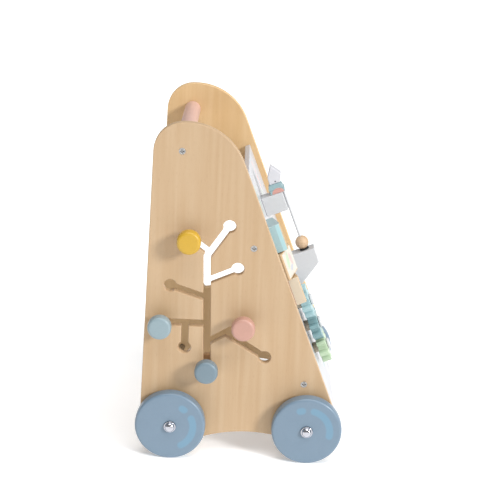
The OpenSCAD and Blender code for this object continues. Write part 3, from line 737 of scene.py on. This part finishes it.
def block_finish(name, turn, centre, half, side_paint_and_shade, top_paint_and_shade, front_colour, rows, stripes):
    """Varnished beech with colour on chosen faces: the face whose own coordinate is at the block's
    half width takes its paint or print, which stops short of the face's sides and ends."""
    made, tree, shader = finish_of(name, Coat_Weight=0.12, Coat_Roughness=0.32)
    place = add(tree, "TexCoord").outputs["Object"]
    spin = Matrix.Rotation(radians(turn), 3, up)
    frame_turn = (spin @ board_turn.to_matrix()).to_euler()
    local = facing(tree, centre, frame_turn)
    part = add(tree, "SeparateXYZ", {"Vector": local}).outputs
    along = add(tree, "Mapping", {"Vector": local, "Rotation": (pi / 2, 0, 0)}).outputs[0]
    wood = placed(tree, wood_figure, {"Place": along, "Pale": tint(203, 178, 142), "Deep": tint(186, 153, 113),
                                      "Pores": 0.4})
    skin = placed(tree, paint_skin, {"Place": along, "Colour": front_colour, "Show": 0.4})
    colour = wood["Colour"]
    print_half = half - print_inset
    tall = remap(tree, maths(tree, "ABSOLUTE", part["Y"]), print_end, print_end - print_edge)
    on_front = remap(tree, part["Z"], half - 0.0006, half - 0.0003)
    wide = remap(tree, maths(tree, "ABSOLUTE", part["X"]), print_half, print_half - print_edge)
    on_side = remap(tree, part["X"], -half + 0.0006, -half + 0.0003)
    # The side and top colours can carry painted shade: the top block's greyer, darker teal.
    if side_paint_and_shade:
        side_paint_and_shade_skin = placed(tree, paint_skin, {"Place": along, "Colour": side_paint_and_shade, "Show": 0.4})["Colour"]
        for z, width, ink in stripes:
            apart = maths(tree, "ABSOLUTE", maths(tree, "SUBTRACT", part["Z"], z))
            side_paint_and_shade_skin = mixed(tree, remap(tree, apart, width / 2, width / 2 - print_edge), side_paint_and_shade_skin, ink)
        colour = mixed(tree, on_side, colour, side_paint_and_shade_skin)
    if top_paint_and_shade:
        on_top = remap(tree, part["Y"], 0.0194, 0.0197)
        top_paint_and_shade_skin = placed(tree, paint_skin, {"Place": along, "Colour": top_paint_and_shade, "Show": 0.4})
        colour = mixed(tree, on_top, colour, top_paint_and_shade_skin["Colour"])
    front = leaves(tree, local, skin["Colour"], rows)
    colour = mixed(tree, maths(tree, "MULTIPLY", on_front, maths(tree, "MULTIPLY", wide, tall)), colour, front)
    rub = placed(tree, worn_edges, {"Place": place, "Amount": 0.4})["Mask"]
    tree.links.new(mixed(tree, rub, colour, tint(232, 214, 188)), shader.inputs["Base Color"])
    tree.links.new(remap(tree, skin["Sheen"], 0.0, 1.0, 0.38, 0.52), shader.inputs["Roughness"])
    bump = add(tree, "Bump", {"Height": wood["Height"], "Strength": 0.25, "Distance": 0.0001}).outputs[0]
    tree.links.new(bump, shader.inputs["Normal"])
    return made


block_facts = {
    # Top block: its side and top colours are a greyer, darker teal than the front, as painted shade; the paler teal
    # band near the side's front edge is where that painted shade stops.
    "top": (14, tint(148, 174, 176), tint(160, 182, 184), tint(150, 196, 200),
            [(0.000, 0.006, 90, 0.020, 0.010, cream_ink), (-0.009, -0.002, 140, 0.016, 0.008, cream_ink),
             (0.009, -0.002, 40, 0.016, 0.008, cream_ink)], [(0.017, 0.006, tint(158, 192, 196))]),
    "middle": (-16, None, None, tint(206, 202, 190),
               [(-0.006, 0.004, 70, 0.026, 0.011, sage_ink), (0.007, 0.002, 110, 0.022, 0.010, rose_ink),
                (0.001, -0.009, 20, 0.016, 0.007, grey_ink)], []),
    "lower": (12, tint(196, 182, 160), None, tint(206, 202, 190),
              [(-0.007, 0.003, 60, 0.024, 0.010, sage_ink), (0.006, 0.005, 100, 0.020, 0.010, rose_ink),
               (0.004, -0.010, 150, 0.014, 0.007, teal_ink)], [(0.002, 0.009, tint(150, 92, 70))]),
}
for level, (turn, side_paint_and_shade, top_paint_and_shade, front_colour, rows, stripes) in block_facts.items():
    node = level + "_block"
    start, end, _ = spine(node, up)
    centre = (start + end) / 2
    block = eased(level + "_picture_block", node, 0.0006)
    made_of(block, block_finish(level + "_block_print", turn, centre, block_half, side_paint_and_shade,
                                top_paint_and_shade, front_colour, rows, stripes))
    settle(block, level + "_block_body", "teal_block_paint" if level == "top" else "printed_wood", node)


# --- Gears -------------------------------------------------------------------
# Three eight-tooth gears sawn from thick board and painted, turning on beech pegs
# glued into the front board. A turned button, painted white, keeps each one on.

gear_shades = {"sky": (tint(158, 190, 194), tint(184, 208, 212)), "teal": (tint(122, 156, 160), tint(158, 186, 190)),
               "green": (tint(178, 200, 168), tint(200, 216, 192))}
for shade_name, (colour, rubbed) in gear_shades.items():
    gear = eased(shade_name + "_toothed_wheel", shade_name + "_gear", 0.0007)
    made_of(gear, paint(shade_name + "_gear_paint", colour, rubbed, (0, lean + pi / 2, 0), show=0.6, wear=0.5))
    settle(gear, shade_name + "_gear_body", shade_name + "_gear_paint", shade_name + "_gear")

peg_wood = bare_wood("peg_beech", tint(224, 210, 190), tint(208, 192, 168), (0, lean + pi / 2, 0), 0.6)
start, end, _ = spine("gear_pegs", out)
cap_start, cap_end, _ = spine("gear_caps", out)
peg_r, collar_r, collar_t, board_t = 0.005, 0.008, 0.0066, 0.008
pegs, buttons = [], []
for shade_name in gear_shades:
    centre = np.array(joint[shade_name + "_gear_turn"]["pos_m"])
    at = lambda level: centre + (level @ board_out - centre @ board_out) * board_out
    length = (end - start) @ board_out
    pegs.append(turned(at(start), out, fillet(
        [(0, 0), (0, peg_r), (board_t, peg_r), (board_t, collar_r), (board_t + collar_t, collar_r),
         (board_t + collar_t, peg_r), (length, peg_r), (length, 0)], 0.0006, 4), 64))
    thick = (cap_end - cap_start) @ board_out
    buttons.append(turned(at(cap_start), out, fillet(
        [(0, 0), (0, 1.7 * peg_r), (thick, 1.7 * peg_r), (thick, 0)], [0.0008, 0.0022], 8), 64))
posts = piece("gear_posts", *pegs)
knobs = piece("gear_buttons", *buttons)
made_of(posts, peg_wood)
settle(posts, "frame", "beech", "gear_pegs")
white_paint = paint("white_paint", tint(195, 196, 198), tint(217, 217, 218), (0, lean + pi / 2, 0), show=0.4)
made_of(knobs, white_paint)
settle(knobs, "frame", "white_paint", "gear_caps")


# --- Ball slider -------------------------------------------------------------
# Two white-painted brackets stand out from the board and hold a thin white rod. A
# bare wooden ball slides on it, down to a black rubber ring on the lower bracket.

for level in ("upper", "lower"):
    bracket = eased(level + "_white_bracket", level + "_bracket", 0.0012, 3)
    made_of(bracket, white_paint)
    settle(bracket, "frame", "white_paint", level + "_bracket")

start, end, rod_r = spine("slider_rod", up)
length = np.linalg.norm(end - start)
rod = piece("white_rod", turned(start, up, fillet([(0, 0), (0, rod_r), (length, rod_r), (length, 0)], 0.0005, 4), 48))
made_of(rod, white_paint)
settle(rod, "frame", "white_paint", "slider_rod")

start, end, radius = spine("slider_ball", up)
thick = np.linalg.norm(end - start)
bore = rod_r + 0.00008
t = np.linspace(0.2, pi - 0.2, 40)
ball_profile = np.stack([thick / 2 - np.cos(t) * radius, np.sin(t) * radius], 1)
ball_profile = np.clip(ball_profile, (0.0, 0.0), (thick, radius))
profile = np.vstack([[(0.0007, bore), (0.0, bore + 0.0006)], ball_profile,
                     [(thick, bore + 0.0006), (thick - 0.0007, bore), (0.0007, bore)]])
ball = piece("wooden_ball", turned(start, up, profile, 96))
ball_wood = bare_wood("ball_beech", tint(200, 173, 142), tint(182, 148, 112), (0.3, lean, 0), 0.5)
made_of(ball, ball_wood)
settle(ball, "ball_body", "ball_wood", "slider_ball")

rubber, tree, shader = finish_of("black_rubber")
place = add(tree, "TexCoord").outputs["Object"]
dust = grainy(tree, place, (600.0, 600.0, 600.0), 3.0, 0.6)
tree.links.new(mixed(tree, dust, tint(26, 26, 27), tint(48, 47, 46)), shader.inputs["Base Color"])
tree.links.new(remap(tree, dust, 0.3, 0.7, 0.62, 0.8), shader.inputs["Roughness"])
bump = add(tree, "Bump", {"Height": dust, "Strength": 0.3, "Distance": 0.0001}).outputs[0]
tree.links.new(bump, shader.inputs["Normal"])
start, end, radius = spine("stop_ring", up)
thick = np.linalg.norm(end - start)
ring = piece("rubber_ring", turned(start, up, fillet(
    [(0, rod_r), (0, radius), (thick, radius), (thick, rod_r), (0, rod_r)], [0.0006, 0.0006, 0.0002], 6), 64))
made_of(ring, rubber)
settle(ring, "frame", "black_rubber", "stop_ring")


# --- Bird --------------------------------------------------------------------
# A little bird on the upper bracket, cut from board in three pieces that are painted and
# glued: two make its round teal body with a salmon breast, the third its white crest.

bird_foot = spine("bird_base", up)[0]
bird_turn = Matrix((board_out, board_up, np.cross(board_out, board_up))).transposed().to_euler()


def plumage(tree, colour):
    """The bird's side print: a salmon breast inside a half ellipse, and scalloped feather lines
    round it; x is forward and y up from the middle of its foot."""
    part = add(tree, "SeparateXYZ", {"Vector": facing(tree, bird_foot, bird_turn)}).outputs

    def distance(x, y, wide, tall):
        run = maths(tree, "DIVIDE", maths(tree, "SUBTRACT", part["X"], x), wide)
        rise = maths(tree, "DIVIDE", maths(tree, "SUBTRACT", part["Y"], y), tall)
        return length_of(tree, run, rise)

    angle = maths(tree, "ARCTAN2", part["Y"], part["X"])
    scallop = maths(tree, "ABSOLUTE", maths(tree, "SINE", maths(tree, "MULTIPLY", angle, 7.0)))
    row = maths(tree, "ADD", distance(0, 0, 0.0095, 0.0085), maths(tree, "MULTIPLY", scallop, 0.10))
    rings = maths(tree, "SINE", maths(tree, "MULTIPLY", row, 2 * pi / 0.24))
    colour = mixed(tree, remap(tree, rings, 0.45, 0.95, 0.0, 0.5), colour, tint(108, 132, 144))
    colour = mixed(tree, remap(tree, distance(0.0008, 0, 0.0092, 0.0078), 1.03, 0.97), colour, tint(200, 148, 138))
    return colour


def bird_eye(tree, colour):
    """A round dark eye low on the crest's sides, in the same coordinates."""
    part = add(tree, "SeparateXYZ", {"Vector": facing(tree, bird_foot, bird_turn)}).outputs
    run, rise = maths(tree, "SUBTRACT", part["X"], 0.0016), maths(tree, "SUBTRACT", part["Y"], 0.0176)
    reach = length_of(tree, run, rise)
    return mixed(tree, remap(tree, reach, 0.0013, 0.0009), colour, tint(60, 54, 62))


bird_paint = paint("bird_paint", tint(146, 174, 178), tint(176, 198, 200), (0, lean, 0), wear=0.4, printed=plumage)
for name, node, slot in (("bird_lower_body", "bird_base", "salmon_paint"),
                         ("bird_upper_body", "bird_body", "teal_paint")):
    part = eased(name, node, 0.0006)
    made_of(part, bird_paint)
    settle(part, "frame", slot, node)
head = eased("bird_white_head", "bird_head", 0.001)
made_of(head, paint("bird_white", tint(205, 205, 210), tint(217, 217, 219), (0, lean, 0), show=0.3, printed=bird_eye))
settle(head, "frame", "bird_white", "bird_head")
